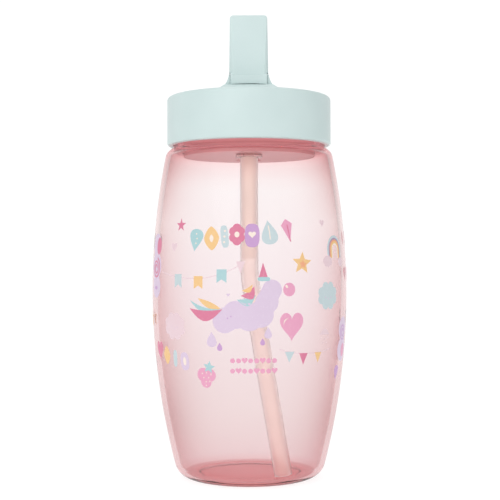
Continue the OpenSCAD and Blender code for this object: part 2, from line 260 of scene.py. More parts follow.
def makeMint():
    material, tree, shader = newMaterial("MintPlastic")
    grain = useGroup(tree, mouldGrain, mintPlastic["grain"])
    flow = aboveLevel(tree, grain.outputs["Flow"], mintPlastic["shadeFrom"],
                      mintPlastic["shadeGain"])
    colour = mixColour(tree, flow, rgb(mintPlastic["colour"]), rgb(mintPlastic["shade"]))
    tree.links.new(colour, shader.inputs["Base Color"])
    addTouch(tree, shader, mintPlastic)
    shader.inputs["IOR"].default_value = mintPlastic["ior"]
    shader.inputs["Subsurface Weight"].default_value = mintPlastic["subsurface"]
    shader.inputs["Subsurface Radius"].default_value = mintPlastic["subsurfaceRadius"]
    shader.inputs["Subsurface Scale"].default_value = mintPlastic["subsurfaceDepth"] * mm
    addBump(tree, shader, grain.outputs["Height"], mintPlastic)
    return material


# Stops run from the table, 0, up to the height called reach, 1. Facing is the colour of a wall seen
# straight on, sloping that of one seen at a slope.
# Both get pinker towards the base. Part of this is a deeper tint of the plastic, and part is painted
# shade of the shaded table seen through it.
# Both get darker at the shoulder, which is painted shade of the lid's underside seen through it.
# The floor's deepest pink is a painted reflection, and the last list is a pink glow painted near the
# shoulder.
tintedShell = dict(
    reach=140.0,
    facing=[(0.0, "E3A4A6"), (0.012, "F3DADB"), (0.034, "F3E6E7"), (0.15, "F5EDED"),
            (0.5, "FAF6F7"), (0.8, "FCFBFB"), (0.87, "FBF1F1"), (0.93, "F4D2D2")],
    sloping=[(0.0, "BE6A6E"), (0.014, "D79A9C"), (0.06, "D3989A"), (0.16, "BE7276"),
             (0.45, "DFABAC"), (0.7, "F4DEDC"), (0.82, "DFA9A9"), (0.88, "C0686C")],
    paintedDisc="DE9092", discRadius=20.6, discTop=3.4,
    paintedShoulderGlow=[(0.86, "000000"), (0.9, "3A2C2E"), (0.915, "5C494C"), (0.97, "5C494C")],
    steepness=1.8, absorb="E0787C", density=26.0, roughness=0.03, rubbed=0.07, ior=1.18,
    grain={"Grain Size": 500.0, "Flow Size": 38.0, "Grain Share": 0.02},
    touch={"Patch Size": 40.0, "Scuff Size": 300.0, "Amount": 0.4},
    bump=0.03, bumpDepth=0.1)


def makeShell():
    # tinted see-through plastic, pinker towards the base and in the thick shoulder, with painted shade
    # in both places and a painted glow under the lid
    material, tree, shader = newMaterial("TintedShell")
    where = tree.nodes.new("ShaderNodeTexCoord").outputs["Object"]
    parts = tree.nodes.new("ShaderNodeSeparateXYZ")
    tree.links.new(where, parts.inputs[0])
    height = mathNode(tree, "DIVIDE", parts.outputs["Z"], tintedShell["reach"] * mm, True)
    # where the wall is seen at a slope the light has come a longer way through it; the sloping colour
    # also adds painted shade, darker at the edges than that longer way alone makes it
    slope = tree.nodes.new("ShaderNodeLayerWeight")
    slope.inputs["Blend"].default_value = 0.5
    steep = mathNode(tree, "POWER", slope.outputs["Facing"], tintedShell["steepness"], True)
    wall = mixColour(tree, steep, rampNode(tree, height, tintedShell["facing"]),
                     rampNode(tree, height, tintedShell["sloping"]))
    # painted reflection: the round middle of the floor, which is always seen at a low angle, is given
    # the deepest pink, standing in for light reflected inside the floor
    flat = tree.nodes.new("ShaderNodeVectorMath")
    flat.operation = "MULTIPLY"
    flat.inputs[1].default_value = (1.0, 1.0, 0.0)
    tree.links.new(where, flat.inputs[0])
    radius = tree.nodes.new("ShaderNodeVectorMath")
    radius.operation = "LENGTH"
    tree.links.new(flat.outputs[0], radius.inputs[0])
    inner = mathNode(tree, "LESS_THAN", radius.outputs["Value"], tintedShell["discRadius"] * mm)
    low = mathNode(tree, "LESS_THAN", parts.outputs["Z"], tintedShell["discTop"] * mm)
    paintedDisc = mathNode(tree, "MULTIPLY", inner, low)
    tree.links.new(mixColour(tree, paintedDisc, wall, rgb(tintedShell["paintedDisc"])),
                   shader.inputs["Base Color"])
    # painted glow: near the shoulder the shell gives off pink light of its own, standing in for light
    # that the thick shoulder gathers under the lid
    tree.links.new(rampNode(tree, height, tintedShell["paintedShoulderGlow"]), shader.inputs["Emission Color"])
    shader.inputs["Emission Strength"].default_value = 1.0
    addTouch(tree, shader, tintedShell)
    shader.inputs["IOR"].default_value = tintedShell["ior"]
    shader.inputs["Transmission Weight"].default_value = 1.0
    grain = useGroup(tree, mouldGrain, tintedShell["grain"])
    addBump(tree, shader, grain.outputs["Height"], tintedShell)
    addAbsorption(tree, rgb(tintedShell["absorb"]), tintedShell["density"])
    return material


clearSilicone = dict(colour="F3F1EF", edge="D8CFCE", roughness=0.42, rubbed=0.588,
                     transmission=0.45, ior=1.41)
strawSilicone = dict(colour="FBF3EF", edge="A8939A", roughness=0.3, rubbed=0.42,
                     transmission=0.88, ior=1.2, glow=0.06)
milkyStem = dict(colour="FFFBF8", edge="E3D3D2", roughness=0.2, rubbed=0.28,
                 transmission=0.95, ior=1.15)
# painted shade: the plug's dusky pink, its darker edge and its glow stand in for a pale plug in shade
# under the lid, seen through the pink barrel
shadedPlug = dict(colour="E0AEB0", edge="BC8286", roughness=0.36, rubbed=0.504,
                transmission=0.3, ior=1.46, glow=0.1)
softFeel = dict(
    deeper=0.93, steepness=2.2,
    grain={"Grain Size": 1800.0, "Flow Size": 120.0, "Grain Share": 0.4},
    touch={"Patch Size": 90.0, "Scuff Size": 500.0, "Amount": 0.4},
    bump=0.05, bumpDepth=0.05)


def makeSoft(name, ownFinish):
    # translucent silicone or plastic, deeper in colour where it is seen at a slope
    finish = {**softFeel, **ownFinish}
    material, tree, shader = newMaterial(name)
    grain = useGroup(tree, mouldGrain, finish["grain"])
    base = rgb(finish["colour"])
    deeper = tuple(c * finish["deeper"] for c in base[:3]) + (1.0,)
    slope = tree.nodes.new("ShaderNodeLayerWeight")
    slope.inputs["Blend"].default_value = 0.5
    steep = mathNode(tree, "POWER", slope.outputs["Facing"], finish["steepness"], True)
    flowing = mixColour(tree, grain.outputs["Flow"], base, deeper)
    tree.links.new(mixColour(tree, steep, flowing, rgb(finish["edge"])), shader.inputs["Base Color"])
    addTouch(tree, shader, finish)
    shader.inputs["Transmission Weight"].default_value = finish["transmission"]
    shader.inputs["IOR"].default_value = finish["ior"]
    # painted light: a finish with a glow gives off a little light in its own colour, standing in for
    # light that reaches the part through the barrel
    if "glow" in finish:
        tree.links.new(flowing, shader.inputs["Emission Color"])
        shader.inputs["Emission Strength"].default_value = finish["glow"]
    addBump(tree, shader, grain.outputs["Height"], finish)
    return material


mint = makeMint()
shell = makeShell()
clearSoft = makeSoft("ClearSilicone", clearSilicone)
strawSoft = makeSoft("StrawSilicone", strawSilicone)
milky = makeSoft("MilkyPlastic", milkyStem)
shadedPlugTint = makeSoft("ShadedPlugPlastic", shadedPlug)
print("materials made")


barrel = dict(widest=71.5, shoulder=126.8, drawTop=5.9, drawBase=9.95, baseRound=7.3,
              shoulderRound=4.5, wall=2.0, standRing=2.4, recess=0.9, floor=1.5,
              neckInside=25.7, neckOutside=27.6, rimRound=0.6, segments=240,
              recessRound=0.7, ringRound=0.45, rootFlare=0.25, rootHeight=0.3, lipRound=0.5,
              lipDepth=1.4, floorFillet=(1.6, 0.7, 0.12), floorStep=2.0, neckStep=0.3,
              insideStep=1.2, baseSteps=16, lowerSteps=46, upperSteps=34, shoulderSteps=14,
              edgeSteps=5)
thread = dict(start=130.8, pitch=5.0, turns=1.25, height=1.1, crest=0.5, root=1.1, fade=30.0)
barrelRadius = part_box("bottle_body")[1].x / mm
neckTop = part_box("bottle_body")[1].z / mm


def arcThrough(dr, dz):
    return (dr * dr + dz * dz) / (2 * dr)


lowerArc = arcThrough(barrel["drawBase"], barrel["widest"])
upperArc = arcThrough(barrel["drawTop"], barrel["shoulder"] - barrel["widest"])


def sideRadius(z):
    # radius of the outer side at height z, between the two roundings
    bow = lowerArc if z < barrel["widest"] else upperArc
    return barrelRadius - bow + math.sqrt(bow * bow - (z - barrel["widest"]) ** 2)


def roundingMiddle(bow, fillet, z):
    return (barrelRadius - bow + math.sqrt((bow - fillet) ** 2 - (z - barrel["widest"]) ** 2), z)


baseMiddle = roundingMiddle(lowerArc, barrel["baseRound"], barrel["baseRound"])
shoulderMiddle = roundingMiddle(upperArc, barrel["shoulderRound"],
                                barrel["shoulder"] - barrel["shoulderRound"])


def sideAngle(bow, middle):
    # direction from the middle of a side arc to the middle of its rounding, in degrees
    return math.degrees(math.atan2(middle[1] - barrel["widest"],
                                   middle[0] - (barrelRadius - bow)))


def sideProfile(inset):
    # the side from the base up to the shoulder, moved inwards by inset
    low = sideAngle(lowerArc, baseMiddle)
    high = sideAngle(upperArc, shoulderMiddle)
    lowerMiddle = (barrelRadius - lowerArc, barrel["widest"])
    upperMiddle = (barrelRadius - upperArc, barrel["widest"])
    points = arc(baseMiddle, barrel["baseRound"] - inset, -90, low, barrel["baseSteps"])
    points += arc(lowerMiddle, lowerArc - inset, low, 0, barrel["lowerSteps"])[1:]
    points += arc(upperMiddle, upperArc - inset, 0, high, barrel["upperSteps"])[1:]
    points += arc(shoulderMiddle, barrel["shoulderRound"] - inset, high, 90,
                  barrel["shoulderSteps"])[1:]
    return points


def barrelProfile():
    # from the middle of the recess, up the outside, over the rim and down the inside
    recessRadius = baseMiddle[0] - barrel["standRing"]
    soft, ringEdge, steps = barrel["recessRound"], barrel["ringRound"], barrel["edgeSteps"]
    floorTop = barrel["recess"] + barrel["floor"]
    outer = [(0.0, barrel["recess"])]
    outer += between(outer[0], (recessRadius - soft, barrel["recess"]), barrel["floorStep"])
    outer += arc((recessRadius - soft, barrel["recess"] - soft), soft, 90, 10, steps)
    outer += arc((recessRadius + ringEdge, ringEdge), ringEdge, 180, 270, steps)
    outer += sideProfile(0.0)
    outer.append((barrel["neckOutside"] + barrel["rootFlare"], barrel["shoulder"]))
    outer.append((barrel["neckOutside"], barrel["shoulder"] + barrel["rootHeight"]))
    rim = barrel["rimRound"]
    top = neckTop - rim
    outer += between(outer[-1], (barrel["neckOutside"], top), barrel["neckStep"])
    outer += arc((barrel["neckOutside"] - rim, top), rim, 0, 90, steps)
    inner = arc((barrel["neckInside"] + rim, top), rim, 90, 180, steps)
    inner += between(inner[-1], (barrel["neckInside"], barrel["shoulder"] - barrel["lipDepth"]),
                     barrel["insideStep"])
    lipRound = barrel["lipRound"]
    lip = (barrel["neckInside"] + lipRound, barrel["shoulder"] - barrel["wall"] + lipRound)
    inner += arc(lip, lipRound, 180, 270, steps)
    inside = [p for p in sideProfile(barrel["wall"]) if p[1] > floorTop]
    inner += [p for p in reversed(inside) if p[0] > lip[0]]
    floorEdge = inner[-1]
    wide, narrow, raised = barrel["floorFillet"]
    inner.append((floorEdge[0] - narrow, floorTop + raised))
    inner.append((floorEdge[0] - wide, floorTop))
    inner += between(inner[-1], (0.0, floorTop), barrel["floorStep"])
    inner.append((0.0, floorTop))
    return outer + inner


def threadRise(angle, z):
    # how far the thread stands out of the neck at this angle and height
    rise = 0.0
    for turn in range(math.ceil(thread["turns"])):
        a = angle + 360 * turn
        if a > 360 * thread["turns"]:
            continue
        off = abs(z - thread["start"] - thread["pitch"] * a / 360)
        flank = min(max((thread["root"] - off) / (thread["root"] - thread["crest"]), 0), 1)
        ends = min(a, 360 * thread["turns"] - a) / thread["fade"]
        rise = max(rise, thread["height"] * flank * min(1, ends))
    return rise


def lathe(name, profile, segments, body, material, pushOut):
    # turns a profile that starts and ends on the axis; pushOut gives what is added to a radius
    vertices = [(0.0, 0.0, profile[0][1])]
    for r, z in profile[1:-1]:
        for i in range(segments):
            a = 360 * i / segments
            radius = r + pushOut(a, r, z)
            vertices.append((radius * math.cos(math.radians(a)),
                             radius * math.sin(math.radians(a)), z))
    vertices.append((0.0, 0.0, profile[-1][1]))
    rings = len(profile) - 2
    last = len(vertices) - 1
    faces = []
    for i in range(segments):
        j = (i + 1) % segments
        faces.append((0, 1 + j, 1 + i))
        for k in range(rings - 1):
            a, b = 1 + k * segments, 1 + (k + 1) * segments
            faces.append((a + i, a + j, b + j, b + i))
        top = 1 + (rings - 1) * segments
        faces.append((last, top + i, top + j))
    return newObject(name, vertices, faces, body, material)


def neckShape(angle, r, z):
    # only the neck's outer wall carries the thread
    onWall = abs(r - barrel["neckOutside"]) < 0.01 and z > barrel["shoulder"] + 1
    return threadRise(angle, z) if onWall else 0


barrelShell = lathe("barrelShell", barrelProfile(), barrel["segments"], "bottle",
                    shell, neckShape)
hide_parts("bottle_body")
print("barrel made")


# Outlines are lists of (across, up) points around the middle of a motif.
def starShape(outer, inner, points=5):
    turns = [math.pi * i / points for i in range(2 * points)]
    return [((inner if i % 2 else outer) * math.sin(a), (inner if i % 2 else outer) * math.cos(a))
            for i, a in enumerate(turns)]


def heartShape(width, height, steps=40):
    # the usual heart curve, 32 wide and 29 high before it is scaled
    curveWidth, curveHeight, curveDrop = 32, 29, 2.5
    points = []
    for i in range(steps):
        t = 2 * math.pi * i / steps
        across = 16 * math.sin(t) ** 3
        up = 13 * math.cos(t) - 5 * math.cos(2 * t) - 2 * math.cos(3 * t) - math.cos(4 * t)
        points.append((across * width / curveWidth, (up + curveDrop) * height / curveHeight))
    return points


def ovalShape(width, height, steps=36, square=2.0):
    # an ellipse; a larger square gives fuller corners
    points = []
    for i in range(steps):
        a = 2 * math.pi * i / steps
        c, s = math.cos(a), math.sin(a)
        points.append((width / 2 * math.copysign(abs(c) ** (2 / square), c),
                       height / 2 * math.copysign(abs(s) ** (2 / square), s)))
    return points


def puffShape(circles, middle=(0.0, 0.0), steps=120):
    # outline around overlapping circles (across, up, radius), as seen from the middle
    points = []
    for i in range(steps):
        a = 2 * math.pi * i / steps
        c, s = math.cos(a), math.sin(a)
        reach = 0.0
        for x, y, r in circles:
            x, y = x - middle[0], y - middle[1]
            along = x * c + y * s
            inside = r * r - (x * x + y * y - along * along)
            if inside > 0:
                reach = max(reach, along + math.sqrt(inside))
        points.append((middle[0] + reach * c, middle[1] + reach * s))
    return points


def cloudShape(width, height, puffs, puffSize):
    # a ring of round puffs on an ellipse, around one circle that fills the middle
    circles = [(0.0, 0.0, min(width, height) / 2 - puffSize * 1.1)]
    for i in range(puffs):
        a = 2 * math.pi * (i + 0.5) / puffs
        circles.append(((width / 2 - puffSize) * math.cos(a), (height / 2 - puffSize) * math.sin(a),
                        puffSize))
    return puffShape(circles)


def dropShape(width, height, steps=36):
    # round below, pointed above
    curveWidth = 1.54
    points = []
    for i in range(steps):
        t = 2 * math.pi * i / steps
        points.append((width / curveWidth * math.sin(t) * math.sin(t / 2) ** 1.5,
                       height / 2 * math.cos(t)))
    return points


def bandShape(line, width):
    # a strip of one width along a line of points
    left, right = [], []
    for i, (x, y) in enumerate(line):
        before, after = line[max(i - 1, 0)], line[min(i + 1, len(line) - 1)]
        dx, dy = after[0] - before[0], after[1] - before[1]
        size = math.hypot(dx, dy)
        left.append((x - dy / size * width / 2, y + dx / size * width / 2))
        right.append((x + dy / size * width / 2, y - dx / size * width / 2))
    return left + right[::-1]


def archLine(radius, legs, steps=24):
    line = [(-radius, -legs)]
    line += [(-radius * math.cos(math.pi * i / steps), radius * math.sin(math.pi * i / steps))
             for i in range(steps + 1)]
    return line + [(radius, -legs)]


def spiralLine(radius, turns, steps=60):
    # runs out from a fifth of the radius
    line = []
    for i in range(steps + 1):
        reach = radius * (0.2 + 0.8 * i / steps)
        a = 2 * math.pi * turns * i / steps
        line.append((reach * math.cos(a), reach * math.sin(a)))
    return line


def crescentShape(start, end, upper, lower, steps=20):
    # the area between two bows on one chord; a bow is how far its middle lies to the left
    dx, dy = end[0] - start[0], end[1] - start[1]
    size = math.hypot(dx, dy)

    def bow(depth, t):
        off = depth * math.sin(math.pi * t)
        return (start[0] + dx * t - dy / size * off, start[1] + dy * t + dx / size * off)

    points = [bow(upper, i / steps) for i in range(steps + 1)]
    return points + [bow(lower, 1 - i / steps) for i in range(1, steps)]


def flagShape(width, height, notch):
    # hangs from its upper edge; a notch of zero is left as a point
    if notch:
        return [(-width / 2, 0), (-width / 2, -height), (0, notch - height),
                (width / 2, -height), (width / 2, 0)]
    return [(-width / 2, 0), (0, -height), (width / 2, 0)]


def moved(outline, across=0.0, up=0.0, tilt=0.0):
    c, s = math.cos(math.radians(tilt)), math.sin(math.radians(tilt))
    return [(across + x * c - y * s, up + x * s + y * c) for x, y in outline]


ink = dict(lift=0.05, layer=0.03, topLevel=3, thickness=0.02, acrossStep=1.5, upStep=4.0,
           roughness=0.42, rubbed=0.55, body=0.8, paler=0.4, paintedInkGlow=0.18,
           fleck={"Fleck Size": 1500.0, "Amount": 0.35},
           grain={"Grain Size": 2400.0, "Flow Size": 200.0, "Grain Share": 0.6},
           touch={"Patch Size": 60.0, "Scuff Size": 500.0, "Amount": 0.5},
           bump=0.06, bumpDepth=0.03)
inkColours = dict(rose="DB7798", pink="E9A0BF", lilac="DCC7DE", purple="C79ACD", teal="A9CFD3",
                  mist="C4D4D8", honey="F2C585", peach="EFA77C", faint="E9CED5", cream="F7E6DA",
                  dusk="A98FB4")
fleckNoise = dict(speckDetail=2.0, speckRoughness=0.6, speckFrom=0.58, speckGain=6.0,
                  slowSize=160.0, slowShare=0.35)


def makeInkFleck():
    # small pale specks and a slow unevenness, as screen-printed ink has
    group, given, result = newGroup(
        "InkFleck", [("Fleck Size", "NodeSocketFloat", 1500.0), ("Amount", "NodeSocketFloat", 0.3)],
        [("Mask", "NodeSocketFloat")])
    where = group.nodes.new("ShaderNodeTexCoord").outputs["Object"]
    specks = noiseNode(group, where, given.outputs["Fleck Size"], fleckNoise["speckDetail"],
                       fleckNoise["speckRoughness"])
    slow = noiseNode(group, where, fleckNoise["slowSize"])
    sharp = aboveLevel(group, specks, fleckNoise["speckFrom"], fleckNoise["speckGain"])
    uneven = mathNode(group, "MULTIPLY", slow, fleckNoise["slowShare"])
    both = mathNode(group, "ADD", sharp, uneven, True)
    group.links.new(mathNode(group, "MULTIPLY", both, given.outputs["Amount"]),
                    result.inputs["Mask"])
    return group


inkFleck = makeInkFleck()


def makeInk(name, code):
    material, tree, shader = newMaterial(name.capitalize() + "Ink")
    fleck = useGroup(tree, inkFleck, ink["fleck"])
    full = tuple(c * ink["body"] for c in rgb(code)[:3]) + (1.0,)
    paler = tuple(c + (1 - c) * ink["paler"] for c in full[:3]) + (1.0,)
    tree.links.new(mixColour(tree, fleck.outputs["Mask"], full, paler),
                   shader.inputs["Base Color"])
    # painted light: the ink gives off a little light in its own colour, standing in for the room's
    # light let through thin ink, so its back isn't black
    tree.links.new(mixColour(tree, fleck.outputs["Mask"], rgb(code), paler),
                   shader.inputs["Emission Color"])
    shader.inputs["Emission Strength"].default_value = ink["paintedInkGlow"]
    addTouch(tree, shader, ink)
    grain = useGroup(tree, mouldGrain, ink["grain"])
    addBump(tree, shader, grain.outputs["Height"], ink)
    return material


inks = {name: makeInk(name, code) for name, code in inkColours.items()}


def cutFlat(outline):
    # triangles over an outline, cut into narrow strips so that they can bend round the barrel
    shape = bmesh.new()
    corners = [shape.verts.new((x, y, 0)) for x, y in outline]
    for a, b, c in geometry.tessellate_polygon([[Vector((x, y, 0)) for x, y in outline]]):
        shape.faces.new((corners[a], corners[b], corners[c]))
    for axis, step in ((0, ink["acrossStep"]), (1, ink["upStep"])):
        low = min(p[axis] for p in outline)
        high = max(p[axis] for p in outline)
        for i in range(math.ceil(low / step), math.floor(high / step) + 1):
            spot, way = Vector((0, 0, 0)), Vector((0, 0, 0))
            spot[axis], way[axis] = i * step, 1
            everything = shape.verts[:] + shape.edges[:] + shape.faces[:]
            bmesh.ops.bisect_plane(shape, geom=everything, plane_co=spot, plane_no=way,
                                   dist=0.0001)     # corners this near to the cut count as on it
    bmesh.ops.recalc_face_normals(shape, faces=shape.faces)
    if sum(face.normal.z for face in shape.faces) < 0:
        bmesh.ops.reverse_faces(shape, faces=shape.faces)
    return shape


def inkMotif(name, turn, height, layers):
    # wraps flat outlines onto the barrel as thin closed layers of ink, later ones on top;
    # turn is in degrees from the front towards the right, height is above the table
    vertices, faces, indices, used = [], [], [], []
    for level, (inkName, outline) in enumerate(layers):
        if inkName not in used:
            used.append(inkName)
        shape = cutFlat(outline)
        shape.verts.index_update()
        count, first = len(shape.verts), len(vertices)
        for low in (False, True):
            lift = ink["lift"] + ink["layer"] * min(level, ink["topLevel"])
            if low:
                lift -= ink["thickness"]
            for vertex in shape.verts:
                z = height + vertex.co.y
                side = sideRadius(z)
                a = math.radians(turn) + vertex.co.x / side
                vertices.append(((side + lift) * math.sin(a), -(side + lift) * math.cos(a), z))
        made = [[first + v.index for v in face.verts] for face in shape.faces]
        made += [[v + count for v in reversed(face)] for face in made]
        for edge in shape.edges:
            if len(edge.link_faces) == 1:
                # an open edge gets a narrow wall between the upper and the lower layer
                p, q = next((corner.vert.index, corner.link_loop_next.vert.index)
                            for corner in edge.link_faces[0].loops if corner.edge == edge)
                made.append([first + q, first + p, first + p + count, first + q + count])
        shape.free()
        faces += made
        indices += [used.index(inkName)] * len(made)
    piece = newObject(name, vertices, faces, "bottle", inks[used[0]], smooth=False)
    for inkName in used[1:]:
        piece.data.materials.append(inks[inkName])
    piece.data.polygons.foreach_set("material_index", indices)


def dots(inkName, places, size):
    return [(inkName, moved(ovalShape(size, size, steps=14), x, y)) for x, y in places]


# Each motif is (turn, height, layers), each layer an ink and an outline.
# The arched row of seven shapes across the upper front
upperRow = dict(
    tealLeaf=(-31.5, 90.7, [("teal", moved(dropShape(6.2, 8.2), tilt=172))]
              + dots("cream", [(0.2, 2.3), (0.5, 0.6), (0.1, -1.1)], 0.6)),
    honeyLozenge=(-21.6, 91.3, [("honey", moved(ovalShape(5.9, 8.6, 36, 1.45), tilt=4)),
                                ("cream", moved(ovalShape(1.6, 2.8, 20, 1.45), tilt=4))]),
    mistCapsule=(-13.9, 91.9, [("mist", moved(ovalShape(2.8, 8.0, 36, 3.4), tilt=7))]
                 + dots("cream", [(0.1, 2.0), (0, 0), (-0.1, -2.0)], 0.8)),
    roseFlower=(-6.9, 92.6, [("rose", cloudShape(6.0, 7.8, 6, 1.6)),
                             ("cream", ovalShape(1.8, 2.1))]),
    purpleEgg=(1.6, 92.2, [("purple", ovalShape(5.3, 8.4, 40, 2.8)),
                           ("cream", moved(heartShape(2.7, 2.4), 0, 0.2))]),
    mistLeaf=(11.2, 93.4, [("mist", moved(dropShape(6.6, 8.8), tilt=8)),
                           ("cream", moved(bandShape([(0, -2.6), (0.1, 0), (0, 2.4)], 0.4), tilt=8))]),
    pinkKite=(21.4, 93.7, [("pink", moved(flagShape(4.4, 6.4, 0), 0, 2.6, 12)),
                           ("pink", moved(flagShape(4.4, 2.0, 0), 0, 2.5, 192)),
                           ("rose", moved(bandShape([(0, 0), (0, -6.2)], 0.35), 0.2, 2.4, 12))]))

# Single stars, hearts, clouds and fruit
scattered = dict(
    roseStar=(-43.0, 96.3, [("rose", starShape(2.5, 1.0))]),
    faintHeart=(-48.0, 88.2, [("faint", heartShape(3.2, 3.4))]),
    duskHeart=(47.0, 96.8, [("faint", heartShape(2.4, 2.6))]),
    tinyHeart=(-11.7, 71.0, [("lilac", heartShape(1.2, 1.2))]),
    honeyStar=(30.6, 82.3, [("honey", moved(starShape(4.2, 1.9), tilt=-4)),
                            ("peach", moved(starShape(1.7, 0.8), 0.3, -0.4, -4))]),
    rainbow=(58.5, 87.4, [("mist", bandShape(archLine(4.7, 3.2), 0.9)),
                          ("dusk", bandShape(archLine(3.95, 3.2), 0.6)),
                          ("peach", bandShape(archLine(3.35, 3.2), 0.65)),
                          ("honey", bandShape(archLine(2.65, 3.2), 0.8)),
                          ("cream", bandShape(archLine(1.95, 3.2), 0.6)),
                          ("faint", moved(cloudShape(5.6, 4.4, 7, 1.1), -5.2, -4.4)),
                          ("faint", moved(cloudShape(4.6, 3.6, 7, 0.9), 4.6, -4.6))]),
    mistCloud=(50.4, 70.4, [("mist", cloudShape(11.8, 10.6, 8, 1.8))]
               + dots("lilac", [(-1.6, -0.6), (0, -1.1), (1.6, -0.6)], 0.5)),
    pinkHeart=(24.0, 59.4, [("pink", heartShape(9.3, 10.4)),
                            ("cream", crescentShape((-3.2, 0.6), (-1.2, 3.4), 0.9, 0.5))]),
    faintCloud=(-47.8, 59.5, [("faint", cloudShape(11.6, 10.4, 8, 1.8))]
                + dots("lilac", [(-1.4, -0.4), (0.2, -0.9), (1.8, -0.4)], 0.4)),
    faintShower=(47.7, 56.2, [("faint", crescentShape((2.8, 0), (-2.8, 0), 0.0, -2.2))]
                 + dots("faint", [(-2, -1.2), (0, -1.6), (2, -1.2), (-1, -2.9), (1, -2.9)], 0.6)),
    berry=(-25.8, 41.2, [("pink", puffShape([(-1.2, 1.1, 2.5), (1.3, 1.0, 2.4), (-0.2, -1.5, 2.1)])),
                         ("teal", moved(starShape(2.4, 1.1), 1.2, 3.9, -10))]
           + dots("cream", [(-1.6, 1.6), (0.2, 1.9), (1.9, 1.4), (-1.0, 0.1), (0.9, 0.1),
                            (-0.2, -1.4), (1.3, -1.2), (-0.2, -2.7)], 0.5)),
    leftHeart=(-66.0, 49.6, [("rose", heartShape(6.0, 7.4))]),
    leftLozenge=(-56.9, 48.5, [("honey", ovalShape(4.6, 6.8, 36, 1.4))]),
    leftCapsule=(-48.4, 47.6, [("mist", moved(ovalShape(2.2, 6.2, 30, 3.0), tilt=-3))]),
    leftDrop=(-40.5, 46.8, [("lilac", moved(ovalShape(4.2, 6.6, 32, 2.6), tilt=4)),
                            ("cream", moved(ovalShape(1.5, 3.0, 24), tilt=4))]),
    purpleDrop=(64.0, 41.4, [("purple", moved(dropShape(4.0, 5.6), tilt=178))]))

# A cloud with a striped tail, a ball and a paper hat in the middle of the front
cloudBody = [(-7.6, -1.2, 4.6), (-3.6, 0.8, 5.0), (1.2, 0.0, 5.0), (5.2, 1.0, 4.8),
             (7.6, 5.4, 4.2), (9.4, 9.6, 3.7)]
paradeCloud = dict(
    lilacCloud=(-2.0, 63.2, [("lilac", puffShape(cloudBody, (2.6, 1.6)))]
                + dots("purple", [(-6.6, -0.4), (-5.4, 0.2)], 0.5)),
    stripedTail=(-24.6, 65.0, [("honey", crescentShape((-3.4, 4.9), (6.2, 0.9), 0.7, -1.6)),
                               ("teal", crescentShape((-6.8, 4.2), (6.2, 0.9), -1.0, -2.9)),
                               ("rose", crescentShape((-6.9, 1.2), (6.2, 0.9), -0.6, -4.4))]),
    shortTail=(-1.8, 69.6, [("teal", crescentShape((-3.4, -0.2), (3.4, 1.4), -0.4, -3.2)),
                            ("rose", crescentShape((-2.0, 1.2), (2.9, 4.6), -0.4, -3.4)),
                            ("honey", crescentShape((-1.6, 3.0), (2.3, 5.2), -0.2, -1.9))]),
    pinkBall=(22.3, 72.9, [("pink", ovalShape(4.7, 4.9)),
                           ("cream", moved(ovalShape(0.9, 1.3, 16), -1.0, 1.1, 30))]),
    paperHat=(7.6, 77.0, [("rose", [(-1.7, 0), (1.7, 0), (-0.1, 5.6)]),
                          ("teal", moved(ovalShape(4.6, 1.5, 24, 3.4), 0.2, -0.3))]),
    rainDrops=(-19.4, 54.0, [("lilac", moved(dropShape(4.2, 5.6), -1.4, 1.2)),
                             ("purple", moved(dropShape(2.2, 3.0), 1.6, -1.4))]),
    rainDropsRight=(8.7, 56.6, [("lilac", moved(dropShape(3.0, 4.2), 1.0, 1.0)),
                                ("purple", moved(dropShape(1.9, 2.6), -1.0, -2.2))]))

# Tall lilac swirls at both sides, a few motifs further round
aroundSides = dict(
    leftSwirl=(-69.5, 81.5, [("lilac", puffShape([(0, 7.5, 4.6), (0, 0, 5.2), (0.3, -7.6, 4.4)])),
                             ("rose", moved(ovalShape(4.4, 6.4), 2.6, 7.4)),
                             ("rose", moved(bandShape(spiralLine(3.9, 2.2), 0.6), 0.2, -0.8)),
                             ("purple", moved(ovalShape(2.6, 1.3, 20), 0.4, -8.2))]),
    rightSwirl=(70.5, 53.4, [("lilac", puffShape([(0, 4.4, 4.4), (0, -3.4, 4.6)])),
                             ("purple", moved(bandShape(spiralLine(3.2, 1.9), 0.6), 0, 3.2)),
                             ("pink", moved(ovalShape(4.0, 5.0), 1.2, -3.8))]),
    sideStar=(-84.0, 61.5, [("honey", moved(starShape(3.6, 1.6), tilt=8))]),
    sideHeart=(86.0, 78.0, [("rose", heartShape(5.6, 6.0))]),
    sideCloud=(-92.0, 91.0, [("mist", cloudShape(9.0, 6.6, 8, 1.4))]),
    sideFlower=(92.0, 62.0, [("teal", cloudShape(5.8, 5.8, 6, 1.4)), ("cream", ovalShape(1.7, 1.7))]),
    sideLozenge=(84.0, 92.0, [("faint", moved(ovalShape(3.6, 5.6, 30, 1.3), tilt=10))]),
    sideMoon=(-88.0, 45.0, [("lilac", crescentShape((0.6, 3.4), (0.6, -3.4), -3.2, -1.2))]))

# Strings of flags: (turn, height) of each end and of the lowest place, then the flags as
# (ink, turn, height of the top, width, drop, notch)
buntings = dict(
    upperBunting=dict(start=(-60.0, 79.4), low=(-31.0, 76.9), end=(-3.0, 82.6), cord=0.28,
                      flags=[("mist", -43.9, 78.5, 3.6, 5.0, 1.3),
                             ("honey", -29.5, 77.8, 3.7, 4.6, 1.2),
                             ("teal", -15.4, 80.2, 3.7, 4.8, 1.2),
                             ("faint", -4.9, 83.0, 3.2, 4.4, 0)]),
    lowerBunting=dict(start=(16.8, 51.6), low=(34.0, 49.7), end=(54.0, 51.0), cord=0.28,
                      flags=[("mist", 23.0, 50.6, 3.7, 3.9, 0),
                             ("rose", 32.0, 49.9, 3.6, 4.2, 0),
                             ("honey", 42.7, 49.9, 3.4, 3.7, 0)]))


